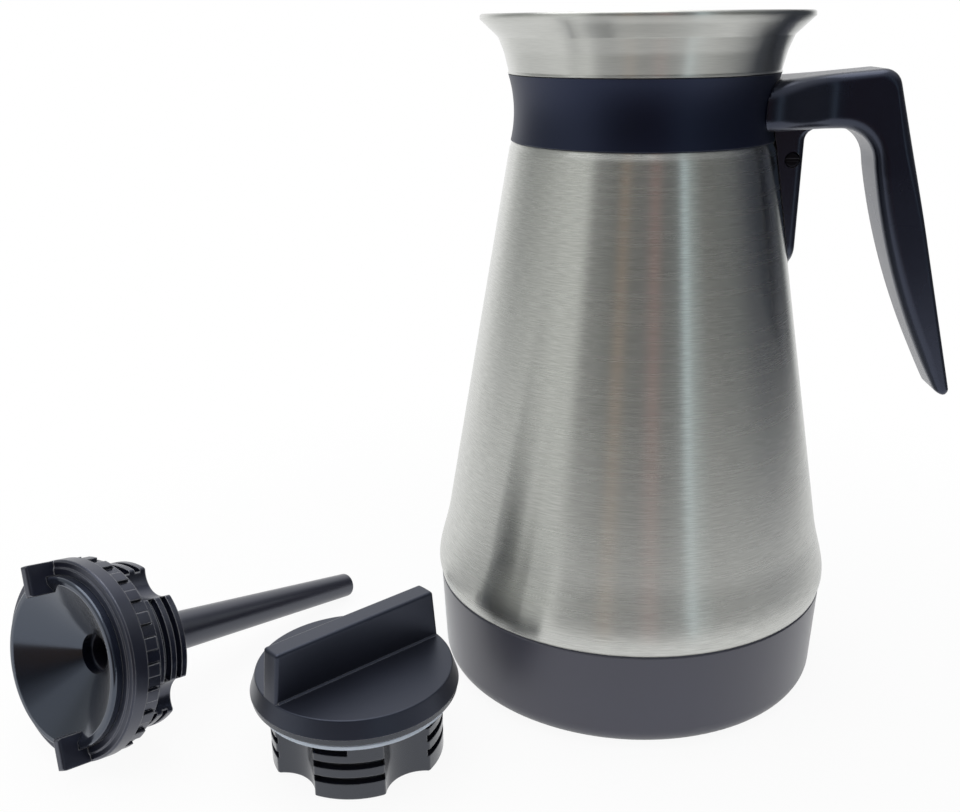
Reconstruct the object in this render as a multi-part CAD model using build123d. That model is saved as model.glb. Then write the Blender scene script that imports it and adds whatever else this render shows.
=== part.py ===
from build123d import *
import os
from math import cos, degrees, radians, sin, sqrt

# A double-walled steel carafe of about 1.25 litres, with its two screw-in lids
# taken off and set down beside it.
# One lid is a closed twist lid, the other a brew-through lid with a funnel and a mixing tube.
# Millimetres. +Z is up, the origin is on the floor below the carafe's middle, and the handle points to +X.

# Fits
slip = 0.1
close_fit = 0.05

# Steel body, from the floor up
steel_wall = 0.8
seam_height = 33.4
seam_radius = 65.2
widest_height = 37.6
widest_radius = 65.9
cone_foot_height = 50.0
cone_foot_radius = 62.9
cone_edge_round = 0.4
neck_radius = 37.4
skirt_foot_height = 9.0

# Flared mouth, counted down from its rim, which gives the carafe its height
rim_height = 216.0
rim_overhang = 8.6
rim_bead = 1.5
crease_below_rim = 8.2
crease_overhang = 3.5
crease_drop = 1.2
crease_step = 0.9
waist_below_rim = 12.8
waist_overhang = 1.5
flare_height = 17.5

# Collar band round the neck, hollow in side view, with the shoulder and the lid seat beside it
band_height = 19.7
band_foot_wall = 3.2
band_waist_wall = 2.2
band_top_wall = 3.9
shoulder_drop = 2.4
neck_below_band_top = 6.5
seat_below_band_top = 7.3
seat_step = 4.0

# Inner flask
vacuum_gap = 3.9
neck_bore_radius = 27.5
flask_floor_height = 17.0
flask_corner_radius = 12.0
flask_shoulder_drop = 7.5
neck_length = 14.7
neck_lug_reach = 2.2
neck_lug_height = 1.8
neck_lug_turn = 20.0
first_lug_turn = 45.0
getter_radius = 8.0
getter_thickness = 1.4
seal_radius = 4.5
seal_stub_radius = 1.8
seal_thickness = 1.0

# Base cup and foot ring
cup_wall = 2.3
cup_foot_radius = 63.9
cup_foot_height = 6.5
cup_flat_radius = 58.0
cup_chamfer = 0.7
seam_gap = 0.2
cup_lift = 0.4
cup_floor = 1.8
foot_ring_radius = 56.0
foot_ring_width = 4.0
foot_ring_height = 2.0

# Handle: arm and grip
arm_below_band_top = 1.7
arm_rise = 2.9
arm_above_band_foot = 3.2
arm_length = 33.4
arm_half_width = 10.8
root_half_width = 20.2
root_depth = 3.4
root_flare_length = 12.7
grip_top_drop = 10.0
grip_length = 84.8
grip_gap = 28.8
grip_inner_lean = 0.176
grip_inner_bow = 14.5
grip_outer_lean = 0.268
grip_tip_round = 2.2
grip_tip_half_width = 7.8
grip_corner_round = 5.5
grip_inner_round = 11.0
handle_inner_round = 3.8
handle_outer_round = 1.4
handle_root_round = 6.5

# Handle: heel that lies along the steel
heel_depth = 7.8
heel_length = 42.2
heel_half_width = 9.0
heel_tip_half_width = 6.2
heel_edge_round = 2.2
heel_clearance = 0.3

# Strap that clamps the handle and band to the neck, with its screw and nut
strap_thickness = 0.8
strap_width = 7.0
strap_above_band_foot = 9.2
strap_gap = 1.8
ear_offset = 5.8
ear_width = 4.4
ear_drop = 18.6
screw_drop = 15.2
screw_radius = 1.3
screw_head_radius = 2.3
screw_head_height = 1.8
screw_sink = 2.0
nut_width = 5.0
nut_height = 2.0

# Lid plugs, alike on both lids
plug_radius = 26.5
plug_scallop_radius = 21.6
lobe_corner_round = 0.9
plug_wall = 2.6
plug_bore_radius = 18.6
groove_depth = 2.6
groove_overrun = 0.8

# Twist lid, in its own height above the floor that it stands on
twist_lobe_turns = (46.0, 62.0)
twist_body_top = 18.2
twist_grooves = ((5.6, 7.9), (10.6, 12.9), (15.2, 17.5))
flange_bottom = 22.0
flange_radius = 31.3
cap_bottom = 24.1
cap_top = 29.5
cap_bottom_radius = 31.7
cap_top_radius = 29.9
cap_roof = 2.2
cap_hollow_radius = 27.0
spigot_depth = 3.6
spigot_wall = 1.6
cap_edge_round = 0.4
blade_top = 45.0
blade_top_radius = 28.5
blade_thickness = 7.1
blade_edge_round = 1.0
blade_foot_bevel = 0.5
gasket_radius = 29.4
gasket_bore = 25.0
gasket_lip_foot = 1.2
gasket_lip_height = 2.3
gasket_lip_slope = 2.0
twist_lid_x = -87.0
twist_lid_y = -65.0
twist_lid_turn = 43.8
twist_plug_turn = -86.8

# Brew-through lid, in its own height above the face of its ring
brew_lobe_turns = (58.0, 64.0)
ring_radius = 30.8
skirt_radius = 30.3
ring_plate = 2.4
ring_step = 0.4
ring_step_radius = 28.6
tooth_root_depth = 5.6
tooth_tip_depth = 10.2
crown_depth = 11.4
crown_step = 1.0
crown_round = 1.0
tooth_count = 24
tooth_side_gap = 0.12
tooth_end_gap = 0.4
sleeve_radius = 28.0
lug_height = 9.3
lug_inner_radius = 21.2
lug_thickness = 3.4
lug_round = 0.9
lip_height = 3.3
lip_radius = 26.2
lip_width = 2.0
lip_round = 0.9
bowl_skirt_depth = 3.0
bowl_seat_width = 1.9
funnel_depth = 9.2
funnel_wall = 1.6
throat_radius = 6.35
throat_depth = 12.6
brew_plug_depth = 23.6
brew_grooves = ((-17.1, -14.6), (-21.1, -19.1))
tube_collar_radius = 8.7
tube_collar_height = 1.8
tube_base_radius = 6.9
tube_tip_radius = 4.4
tube_wall = 1.1
tube_tip_depth = 124.9
socket_wall = 1.6
brew_lid_x = -175.1
brew_lid_y = -72.7
brew_lid_height = 32.41
brew_lid_turn = 57.1
brew_lid_tilt = 12.682
brew_lid_roll = 24.0

# Sizes worked out from those above
band_bottom_radius = neck_radius + band_foot_wall
band_waist_radius = neck_radius + band_waist_wall
band_top_radius = neck_radius + band_top_wall
cone_top_radius = band_bottom_radius + cone_edge_round
seat_radius = neck_radius - seat_step
waist_radius = band_top_radius + waist_overhang
crease_radius = band_top_radius + crease_overhang
rim_radius = band_top_radius + rim_overhang
arm_corner_reach = band_top_radius + arm_length
root_flare_reach = band_top_radius + root_flare_length
grip_inner_top = band_top_radius + grip_gap
heel_reach = cone_top_radius + heel_depth
ear_inner = neck_radius + ear_offset
ear_reach = ear_inner + ear_width
screw_out = ear_inner + ear_width / 2
crease_height = rim_height - crease_below_rim
waist_height = rim_height - waist_below_rim
band_top_height = rim_height - flare_height
band_bottom_height = band_top_height - band_height
band_waist_height = band_bottom_height + band_height * 0.46
cone_top_height = band_bottom_height - shoulder_drop
neck_top_height = band_top_height - neck_below_band_top
seat_height = band_top_height - seat_below_band_top
neck_foot_height = seat_height - neck_length
flask_shoulder_height = neck_foot_height - flask_shoulder_drop
arm_top_at_band = band_top_height - arm_below_band_top
arm_corner_height = arm_top_at_band + arm_rise
arm_underside = band_bottom_height + arm_above_band_foot
grip_top = arm_underside - grip_top_drop
grip_tip_height = arm_underside - grip_length
heel_tip_height = arm_underside - heel_length
strap_height = band_bottom_height + strap_above_band_foot
ear_foot_height = strap_height - ear_drop
screw_height = strap_height - screw_drop
cone_slope = (cone_foot_radius - cone_top_radius) / (cone_top_height - cone_foot_height)
cup_slope = (seam_radius - cup_foot_radius) / (seam_height - cup_foot_height)
arm_slope = (arm_corner_height - arm_top_at_band) / (arm_corner_reach - band_top_radius)
plug_foot_in_flask = seat_height - flange_bottom


def cone_radius(height):
    """Outer radius of the steel cone at a height."""
    return cone_top_radius + cone_slope * (cone_top_height - height)


def cup_radius(height):
    """Outer radius of the base cup at a height."""
    return cup_foot_radius + cup_slope * (height - cup_foot_height)


def flask_radius(height):
    """Outer radius of the inner flask at a height on its cone."""
    return cone_radius(height) - steel_wall - vacuum_gap


def edge_line(start, end):
    """A straight edge between two (radius, height) points."""
    return Line((start[0], 0, start[1]), (end[0], 0, end[1])).edge()


def edge_arc(start, middle, end):
    """An arc through three (radius, height) points."""
    return ThreePointArc((start[0], 0, start[1]), (middle[0], 0, middle[1]), (end[0], 0, end[1])).edge()


def lines_through(*points):
    """Straight edges through (radius, height) points, left open."""
    return [edge_line(a, b) for a, b in zip(points, points[1:])]


def side_face(*points):
    """A face in the XZ plane from a closed run of straight edges."""
    return make_face(Wire(lines_through(*points, points[0])))


def turned(edges):
    """A solid of revolution about Z from edges drawn in the XZ plane."""
    return revolve(make_face(Wire(edges)), Axis.Z)


def ring_solid(inner, outer, low, high):
    """A plain ring about Z."""
    return revolve(side_face((inner, low), (outer, low), (outer, high), (inner, high)), Axis.Z)


def thick_slab(face, low, high):
    """Extrudes an XZ face from one Y to another."""
    return Pos(0, low, 0) * extrude(face, high - low, dir=(0, 1, 0))


def sector(inner, outer, low, high, middle_turn, turn):
    """A sector of a ring about Z, used for lugs and teeth."""
    face = side_face((inner, low), (outer, low), (outer, high), (inner, high))
    return Rot(0, 0, middle_turn - turn / 2) * revolve(face, Axis.Z, turn)


def make_outer_shell():
    """Spun cone with its turned-in foot, a skirt inside the base cup and a neck inside the band."""
    wall = steel_wall
    skirt_top = cup_radius(seam_height) - cup_wall - slip
    skirt_foot = cup_radius(skirt_foot_height) - cup_wall - slip
    ledge = seam_height + wall
    curl_height = (widest_height + cone_foot_height) / 2
    outside = [edge_arc((seam_radius, seam_height),
                        (widest_radius - 0.2, (seam_height + widest_height) / 2),
                        (widest_radius, widest_height)),
               edge_arc((widest_radius, widest_height), (widest_radius - 1.2, curl_height),
                        (cone_foot_radius, cone_foot_height))]
    outside += lines_through((cone_foot_radius, cone_foot_height), (cone_top_radius, cone_top_height),
                             (band_bottom_radius, band_bottom_height), (neck_radius, band_bottom_height),
                             (neck_radius, neck_top_height), (neck_radius - wall, neck_top_height))
    inside = lines_through((neck_radius - wall, neck_top_height),
                           (neck_radius - wall, band_bottom_height - wall),
                           (band_bottom_radius - wall, band_bottom_height - wall),
                           (cone_top_radius - wall, cone_top_height - 0.1),
                           (cone_foot_radius - wall, cone_foot_height))
    inside += [edge_arc((cone_foot_radius - wall, cone_foot_height),
                        (widest_radius - 1.2 - wall, curl_height),
                        (widest_radius - wall, widest_height)),
               edge_arc((widest_radius - wall, widest_height),
                        (widest_radius - wall - 0.2, (ledge + widest_height) / 2),
                        (seam_radius - wall, ledge))]
    inside += lines_through((seam_radius - wall, ledge), (skirt_top - wall, ledge),
                            (skirt_foot - wall, skirt_foot_height), (skirt_foot, skirt_foot_height),
                            (skirt_top, seam_height), (seam_radius, seam_height))
    return turned(outside + inside)


def make_mouth_flare():
    """One spun sheet: rolled rim, steep flare, crease, tuck over the band, throat and lid seat."""
    wall = steel_wall
    edge = band_top_height + slip
    under = [(rim_radius, rim_height - rim_bead), (crease_radius, crease_height),
             (crease_radius - crease_step, crease_height - crease_drop), (waist_radius, waist_height),
             (band_top_radius, edge + 0.3), (band_top_radius - 0.4, edge),
             (band_top_radius - 2.5, edge - 0.6), (neck_radius, edge - 5.6),
             (neck_radius, neck_top_height), (neck_radius - wall, neck_top_height),
             (seat_radius + wall, seat_height - wall), (neck_bore_radius, seat_height - wall)]
    over = [(neck_bore_radius, seat_height), (seat_radius, seat_height), (neck_radius - wall, edge - 5.3),
            (band_top_radius - 3.1, edge + 0.1), (band_top_radius - 0.9, edge + 0.8),
            (waist_radius - wall, waist_height + 0.2),
            (crease_radius - crease_step - wall, crease_height - 0.9),
            (crease_radius - wall, crease_height + 0.5), (rim_radius - rim_bead, rim_height - rim_bead)]
    bead_middle = rim_height - rim_bead / 2
    edges = lines_through(*under, *over, (rim_radius - rim_bead, bead_middle))
    edges.append(edge_arc((rim_radius - rim_bead, bead_middle), (rim_radius - rim_bead / 2, rim_height),
                          (rim_radius, bead_middle)))
    edges.append(edge_line((rim_radius, bead_middle), under[0]))
    return turned(edges)


def make_inner_liner():
    """Inner flask wall, a cone with a shoulder that turns in to the neck."""
    wall = steel_wall
    foot = flask_radius(cone_foot_height)
    shoulder = flask_radius(flask_shoulder_height)
    low = flask_floor_height + flask_corner_radius
    points = [(foot, low), (foot, cone_foot_height), (shoulder, flask_shoulder_height),
              (neck_bore_radius + wall, neck_foot_height), (neck_bore_radius, neck_foot_height),
              (neck_bore_radius, neck_foot_height - wall / 2),
              (shoulder - wall, flask_shoulder_height - wall / 2),
              (foot - wall, cone_foot_height), (foot - wall, low)]
    return revolve(side_face(*points), Axis.Z)


def make_flask_neck():
    """Tube welded between the liner and the lid seat, with the lugs that a lid's grooves turn on to."""
    wall = steel_wall
    neck = ring_solid(neck_bore_radius, neck_bore_radius + wall, neck_foot_height, seat_height - wall)
    for low_side, high_side in twist_grooves[1:]:
        height = plug_foot_in_flask + (low_side + high_side) / 2
        for quarter in range(4):
            neck += sector(neck_bore_radius - neck_lug_reach, neck_bore_radius + wall / 2,
                           height - neck_lug_height / 2, height + neck_lug_height / 2,
                           first_lug_turn + quarter * 90, neck_lug_turn)
    return neck


def make_liner_bottom():
    """Round-cornered dish that closes the inner flask."""
    wall = steel_wall
    foot = flask_radius(cone_foot_height)
    corner = flask_corner_radius
    low = flask_floor_height
    bend = corner * (1 - sqrt(0.5))
    inner_bend = wall + (corner - wall) * (1 - sqrt(0.5))
    edges = [edge_line((0, low), (foot - corner, low)),
             edge_arc((foot - corner, low), (foot - bend, low + bend), (foot, low + corner)),
             edge_line((foot, low + corner), (foot - wall, low + corner)),
             edge_arc((foot - wall, low + corner), (foot - inner_bend, low + inner_bend),
                      (foot - corner, low + wall)),
             edge_line((foot - corner, low + wall), (0, low + wall)), edge_line((0, low + wall), (0, low))]
    return turned(edges)


def make_getter():
    """Gas-absorbing tablet under the flask's floor, in the vacuum space."""
    return Pos(0, 0, flask_floor_height - getter_thickness / 2) * Cylinder(getter_radius, getter_thickness)


def make_shell_bottom():
    """Disc that closes the vacuum space inside the skirt, with the hole that the air was drawn through."""
    low = skirt_foot_height
    radius = cup_radius(low) - cup_wall - slip - steel_wall
    disc = Pos(0, 0, low + steel_wall / 2) * Cylinder(radius, steel_wall)
    return disc - Pos(0, 0, low) * Cylinder(seal_stub_radius, steel_wall * 4)


def make_vacuum_seal():
    """Solder button that fills the evacuation hole."""
    button = Pos(0, 0, skirt_foot_height - seal_thickness / 2) * Cylinder(seal_radius, seal_thickness)
    return button + Pos(0, 0, skirt_foot_height + steel_wall / 2) * Cylinder(seal_stub_radius, steel_wall)


def ear_plate(grow):
    """Side view of a strap ear, grown by a clearance for the slot that it sits in."""
    low = strap_height - strap_width / 2 - grow
    high = strap_height + strap_width / 2 + grow
    start = neck_radius + close_fit
    return side_face((start, low), (ear_inner - grow, low), (ear_inner - grow, ear_foot_height - grow),
                     (ear_reach + grow, ear_foot_height - grow), (ear_reach + grow, high), (start, high))


def ear_slot():
    """Slot for both ears, through the band and into the handle."""
    half = strap_gap / 2 + strap_thickness + close_fit
    return thick_slab(ear_plate(slip), -half, half)


def make_collar_band():
    """Moulded band round the neck, with a groove inside for the strap and a slot for its ears."""
    bore = neck_radius + close_fit
    top = band_top_height
    edges = [edge_arc((band_bottom_radius, band_bottom_height), (band_waist_radius, band_waist_height),
                      (band_top_radius, top))]
    edges += lines_through((band_top_radius, top), (band_top_radius - 0.5, top),
                           (band_top_radius - 2.3, top - 0.9), (bore, top - 6.3),
                           (bore, band_bottom_height), (band_bottom_radius, band_bottom_height))
    groove = ring_solid(bore - 1, neck_radius + 2 * close_fit + strap_thickness,
                        strap_height - strap_width / 2 - slip, strap_height + strap_width / 2 + slip)
    return turned(edges) - groove - ear_slot()


def screw_hole(radius):
    """A cross hole along Y at the clamp screw's place."""
    return Pos(screw_out, 0, screw_height) * Rot(90, 0, 0) * Cylinder(radius, heel_half_width * 4)


def make_clamp_strap():
    """Steel strap round the neck with two ears that the screw draws together."""
    inner = neck_radius + close_fit
    strap = ring_solid(inner, inner + strap_thickness, strap_height - strap_width / 2,
                       strap_height + strap_width / 2)
    strap -= Pos(inner, 0, strap_height) * Box(strap_thickness * 4, strap_gap, strap_width * 2)
    half = strap_gap / 2
    strap += thick_slab(ear_plate(0), half, half + strap_thickness)
    strap += thick_slab(ear_plate(0), -half - strap_thickness, -half)
    return strap - screw_hole(screw_radius + close_fit)


def grip_inner(height):
    """Inner side of the grip at a height."""
    drop = grip_top - height
    share = drop / (grip_top - grip_tip_height)
    return grip_inner_top + grip_inner_lean * drop + grip_inner_bow * share * share


def grip_outer(height):
    """Outer side of the arm's corner and the grip at a height."""
    return arm_corner_reach + grip_outer_lean * (arm_corner_height - height)


def handle_side_view():
    """Thin slab with the side view of the arm and grip, corners rounded."""
    start = neck_radius - 6
    tip = grip_tip_height
    corner = (arm_corner_reach, arm_corner_height)
    inner_corner = (grip_inner(arm_underside), arm_underside)
    start_top = (start, arm_top_at_band - arm_slope * (band_top_radius - start))
    heights = [tip + step * (arm_underside - tip) / 8 for step in range(9)]
    inner_side = Spline(*[(grip_inner(h), 0, h) for h in heights]).edge()
    edges = [edge_line(start_top, corner), edge_line(corner, (grip_outer(tip), tip)),
             edge_line((grip_outer(tip), tip), (grip_inner(tip), tip)), inner_side,
             edge_line(inner_corner, (start, arm_underside)), edge_line((start, arm_underside), start_top)]
    slab = thick_slab(make_face(Wire(edges)), -1, 1)
    roundings = ((corner, grip_corner_round), (inner_corner, grip_inner_round),
                 ((grip_outer(tip), tip), grip_tip_round), ((grip_inner(tip), tip), grip_tip_round))
    for place, rounding in roundings:
        edge = slab.edges().filter_by(Axis.Y).sort_by_distance((place[0], 0, place[1]))[0]
        slab = fillet(edge, rounding)
    return slab


def round_section(plane, half_width, depth, inner_round, outer_round):
    """Handle section with large roundings on its inner side and smaller ones on its outer side."""
    inner_round = min(inner_round, 0.5 * depth - 0.05, half_width - 0.05)
    outer_round = min(outer_round, 0.45 * depth)
    low, high = -depth / 2, depth / 2
    edges = []
    for mirror in (1, -1):
        side = half_width * mirror
        in_x = side - inner_round * mirror
        out_x = side - outer_round * mirror
        low_bend = inner_round * (1 - sqrt(0.5))
        high_bend = outer_round * (1 - sqrt(0.5))
        run = [ThreePointArc((in_x, low), (side - low_bend * mirror, low + low_bend),
                             (side, low + inner_round)),
               Line((side, low + inner_round), (side, high - outer_round)),
               ThreePointArc((side, high - outer_round), (side - high_bend * mirror, high - high_bend),
                             (out_x, high))]
        if mirror == 1:
            edges += run + [Line((out_x, high), (-out_x, high))]
        else:
            edges += run[::-1] + [Line((in_x, low), (-in_x, low))]
    return plane * make_face(Wire([e.edge() for e in edges]))


def across_handle(slab, start, end, half_width, outer_round):
    """Rounded section of the handle on the line from its inner to its outer side."""
    cut = Line((start[0], 0, start[1]), (end[0], 0, end[1])).edge() & slab
    cut = cut[0] if isinstance(cut, (list, ShapeList)) else cut
    inner, outer = cut.edge() @ 0, cut.edge() @ 1
    plane = Plane(origin=(inner + outer) / 2, x_dir=(0, 1, 0), z_dir=Vector(0, 1, 0).cross(outer - inner))
    return round_section(plane, half_width, (outer - inner).length, handle_inner_round, outer_round)


def make_arm_and_grip():
    """Arm and grip lofted through sections: out along the arm, round the corner and down the grip."""
    slab = handle_side_view()
    root = neck_radius - root_depth
    below = arm_underside - grip_inner_round
    above = arm_corner_height + grip_corner_round
    sections = []
    for step in range(11):
        reach = root + (root_flare_reach - root) * step / 10
        share = (1 - step / 10) ** 2 * (1 + step / 5)
        half = arm_half_width + (root_half_width - arm_half_width) * share
        rounding = handle_outer_round + (handle_root_round - handle_outer_round) * share
        sections.append(across_handle(slab, (reach, below), (reach, above), half, rounding))
    centre = (grip_inner(arm_underside) - grip_inner_round - 0.6, below)
    for turn in range(4, 88, 4):
        far = (centre[0] + arm_corner_reach * sin(radians(turn)),
               centre[1] + arm_corner_reach * cos(radians(turn)))
        sections.append(across_handle(slab, centre, far, arm_half_width, handle_outer_round))
    tip = grip_tip_height
    high = below - root_depth
    low = tip + 4 * grip_tip_round
    heights = [high - (high - low) * step / 12 for step in range(13)]
    heights += [tip + grip_tip_round * share for share in (2.1, 1.3, 0.8, 0.45, 0.22, 0.08, 0.02)]
    for height in heights:
        share = min(1, (height - tip) / (high - tip))
        half = grip_tip_half_width + (arm_half_width - grip_tip_half_width) * share
        shrink = max(0, 1 - (height - tip) / (1.3 * grip_tip_round))
        sections.append(across_handle(slab, (neck_radius, height), (2 * arm_corner_reach, height),
                                      half - 1.2 * shrink ** 3, handle_outer_round))
    return loft(sections, ruled=True)


def heel_half(height):
    """Half width of the heel at a height."""
    share = (height - heel_tip_height) / (arm_underside - heel_tip_height)
    return heel_tip_half_width + (heel_half_width - heel_tip_half_width) * share


def make_heel():
    """Tapering heel below the arm that lies along the steel."""
    inner = neck_radius - 6
    sections = []
    for height, inset in ((arm_underside + 5, 0), (heel_tip_height + 8, 0),
                          (heel_tip_height + 4, 0.5), (heel_tip_height + 1.4, 1.6),
                          (heel_tip_height + 0.1, 3.4)):
        outer = heel_reach - inset * 0.6
        half = heel_half(height) - inset
        face = Plane.XY.offset(height) * Pos((inner + outer) / 2, 0) * RectangleRounded(
            outer - inner, half * 2, min(heel_edge_round, half * 0.8))
        sections.append(face)
    return loft(sections, ruled=True)


def body_space():
    """What the handle is cut away from: the band, and the steel cone with a clearance."""
    top = band_top_height + 2
    low = heel_tip_height - heel_length
    low_cone = cone_radius(low) + heel_clearance
    high_cone = cone_radius(band_bottom_height) + heel_clearance
    edges = [edge_arc((band_bottom_radius + close_fit, band_bottom_height),
                      (band_waist_radius + close_fit, band_waist_height),
                      (band_top_radius + close_fit, band_top_height))]
    edges += lines_through((band_top_radius + close_fit, band_top_height),
                           (band_top_radius + close_fit, top), (0, top), (0, low),
                           (low_cone, low), (high_cone, band_bottom_height),
                           (band_bottom_radius + close_fit, band_bottom_height))
    return turned(edges)


def along_screw(y):
    """A place on the clamp screw's line, turned so that +Z points to +Y."""
    return Pos(screw_out, y, screw_height) * Rot(-90, 0, 0)


def make_handle():
    """One black moulding: root, arm, grip and heel, with the ears' slot and the screw's holes."""
    handle = make_arm_and_grip() + make_heel()
    handle -= body_space()
    handle -= ear_slot()
    handle -= screw_hole(screw_radius + close_fit)
    side = heel_half(screw_height)
    handle -= along_screw(-side - 3 + screw_sink) * Cylinder(screw_head_radius + slip, 6)
    pocket = nut_width / 2 + close_fit
    handle -= along_screw(side - nut_height) * extrude(RegularPolygon(pocket, 6, major_radius=False), 10)
    return handle


def make_clamp_screw():
    """Pan-head screw across the heel."""
    side = heel_half(screw_height)
    face = -side + screw_sink - screw_head_height
    end = side - 0.4
    screw = along_screw(face + screw_head_height / 2) * Cylinder(screw_head_radius, screw_head_height)
    screw = fillet(screw.edges().sort_by(Axis.Y)[0], 0.6)
    screw += along_screw((face + end) / 2 + 0.3) * Cylinder(screw_radius, end - face - 0.6)
    return screw - Pos(screw_out, face, screw_height) * Box(screw_head_radius * 3, 1.2, 0.7)


def make_clamp_nut():
    """Hexagon nut in its pocket on the far side of the heel."""
    side = heel_half(screw_height)
    nut = extrude(RegularPolygon(nut_width / 2, 6, major_radius=False), nut_height)
    nut -= Cylinder(screw_radius + close_fit / 5, nut_height * 4)
    return along_screw(side - nut_height) * nut


def make_base_cup():
    """Moulded cup glued round the skirt, with a ledge for its foot and a groove for the foot ring."""
    top = seam_height - seam_gap
    inside_floor = cup_lift + cup_floor + 1.6
    ledge = cup_radius(skirt_foot_height) - cup_wall
    step = 2.6
    ring_inner = foot_ring_radius - foot_ring_width
    edges = lines_through((0, inside_floor), (0, cup_lift + 1.6), (ring_inner - 4, cup_lift + 1.6),
                          (ring_inner - 2.4, cup_lift), (cup_flat_radius, cup_lift))
    bend = ((cup_flat_radius + cup_foot_radius * 2.3) / 3.3, (cup_lift * 2.3 + cup_foot_height) / 3.3)
    edges += [edge_arc((cup_flat_radius, cup_lift), bend, (cup_foot_radius, cup_foot_height))]
    edges += lines_through((cup_foot_radius, cup_foot_height), (cup_radius(top), top - cup_chamfer),
                           (cup_radius(top) - cup_chamfer, top), (cup_radius(top) - cup_wall, top),
                           (ledge, skirt_foot_height), (ledge - step, skirt_foot_height),
                           (ledge - step - 0.4, inside_floor), (0, inside_floor))
    return turned(edges) - ring_solid(ring_inner, foot_ring_radius, 0, foot_ring_height)


def make_foot_ring():
    """Soft ring in the cup's groove that the carafe stands on."""
    ring = ring_solid(foot_ring_radius - foot_ring_width, foot_ring_radius, 0, foot_ring_height)
    return fillet(ring.edges().group_by(Axis.Z)[0], 0.5)


def plug_outline(turn, lobe_turns):
    """Plan of a lid's plug: two pairs of lobes with hollows between them, the first lobe at a turn."""
    edges = []
    for quarter in range(4):
        middle = turn + quarter * 90
        half = lobe_turns[quarter % 2] / 2
        next_start = 90 - lobe_turns[(quarter + 1) % 2] / 2
        at = [(middle - half, plug_radius), (middle, plug_radius), (middle + half, plug_radius),
              (middle + (half + next_start) / 2, plug_scallop_radius), (middle + next_start, plug_radius)]
        points = [(r * cos(radians(a)), r * sin(radians(a))) for a, r in at]
        edges.append(ThreePointArc(points[0], points[1], points[2]).edge())
        edges.append(ThreePointArc(points[2], points[3], points[4]).edge())
    outline = make_face(Wire(edges))
    return fillet(outline.vertices(), lobe_corner_round)


def plug_body(low, high, turn, lobe_turns):
    """Lobed plug body, chamfered at its foot."""
    body = extrude(Plane.XY.offset(low) * plug_outline(turn, lobe_turns), high - low)
    return chamfer(body.edges().group_by(Axis.Z)[0], 0.6)


def lobe_grooves(groove, turn, lobe_turns):
    """Grooves across a plug's lobes, which turn on to the flask's lugs."""
    outer = plug_radius * 1.2
    return [sector(plug_radius - groove_depth, outer, groove[0], groove[1], turn + quarter * 90,
                   lobe_turns[quarter % 2] + groove_overrun) for quarter in range(4)]


def make_twist_plug():
    """Plug of the twist lid: hollow lobed body, neck for the gasket and a flange below the cap."""
    plug = plug_body(0, twist_body_top, twist_plug_turn, twist_lobe_turns)
    for groove in twist_grooves[:2]:
        plug -= lobe_grooves(groove, twist_plug_turn, twist_lobe_turns)
    low, high = twist_grooves[2]
    for quarter in range(4):
        reach = twist_lobe_turns[quarter % 2] / 2 + groove_overrun
        middle = twist_plug_turn + quarter * 90 - reach / 2
        plug -= sector(plug_radius - groove_depth, plug_radius * 1.2, low, high, middle, reach)
    plug += ring_solid(plug_bore_radius, gasket_bore, twist_body_top - 1, flange_bottom)
    flange = ring_solid(plug_bore_radius, flange_radius, flange_bottom, cap_bottom)
    plug += chamfer(flange.edges().filter_by(GeomType.CIRCLE).sort_by(SortBy.LENGTH)[-2:], 0.25)
    return plug - Pos(0, 0, plug_wall + cap_bottom / 2) * Cylinder(plug_bore_radius, cap_bottom)


def make_twist_gasket():
    """Soft ring on the plug's neck with a lip that is squeezed against the flask's lid seat."""
    low = twist_body_top
    high = flange_bottom
    inside = gasket_radius - gasket_lip_slope
    return revolve(side_face((gasket_bore, low), (inside, low), (gasket_radius, low + gasket_lip_foot),
                             (gasket_radius, low + gasket_lip_height), (inside, high),
                             (gasket_bore, high)), Axis.Z)


def make_twist_cap():
    """Cap with its upright grip blade, hollow below, with a spigot that plugs into the plug's bore."""
    rim = turned(lines_through((0, cap_top), (cap_top_radius, cap_top), (cap_bottom_radius, cap_bottom),
                               (0, cap_bottom), (0, cap_top)))
    rim = fillet(rim.edges().filter_by(GeomType.CIRCLE).group_by(Axis.Z)[-1], cap_edge_round)
    rim -= ring_solid(plug_bore_radius + 1.5, cap_hollow_radius, cap_bottom - 1, cap_top - cap_roof)
    rim += ring_solid(plug_bore_radius - close_fit - spigot_wall, plug_bore_radius - close_fit,
                      cap_bottom - spigot_depth, cap_bottom + 1)
    sink = cap_edge_round * 2
    foot = cap_top - sink
    foot_radius = cap_top_radius + sink * (cap_bottom_radius - cap_top_radius) / (cap_top - cap_bottom)
    blade = turned(lines_through((0, foot), (foot_radius, foot), (cap_top_radius, cap_top),
                                 (blade_top_radius, blade_top), (0, blade_top), (0, foot)))
    blade &= Pos(0, 0, blade_top) * Box(cap_bottom_radius * 3, blade_thickness, blade_top * 2)
    above_foot = blade.edges().filter_by(lambda e: e.center().Z > foot + slip)
    corners = above_foot.filter_by(lambda e: abs(e.center().Z - cap_top) > slip)
    blade = fillet(corners, blade_edge_round)
    side = blade_thickness / 2
    bevel = Polyline((0, -side - blade_foot_bevel, cap_top), (0, 0, cap_top + blade_foot_bevel + side),
                     (0, side + blade_foot_bevel, cap_top), (0, -side - blade_foot_bevel, cap_top))
    length = cap_top_radius - blade_edge_round
    foot_bevel = Pos(-length, 0, 0) * extrude(make_face(bevel), length * 2, dir=(1, 0, 0))
    return Rot(0, 0, twist_lid_turn) * (rim + blade + foot_bevel)


def make_twist_foam():
    """Insulating foam that fills the plug."""
    high = cap_bottom - spigot_depth - slip
    return Pos(0, 0, (plug_wall + high) / 2) * Cylinder(plug_bore_radius - slip, high - plug_wall)


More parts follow.
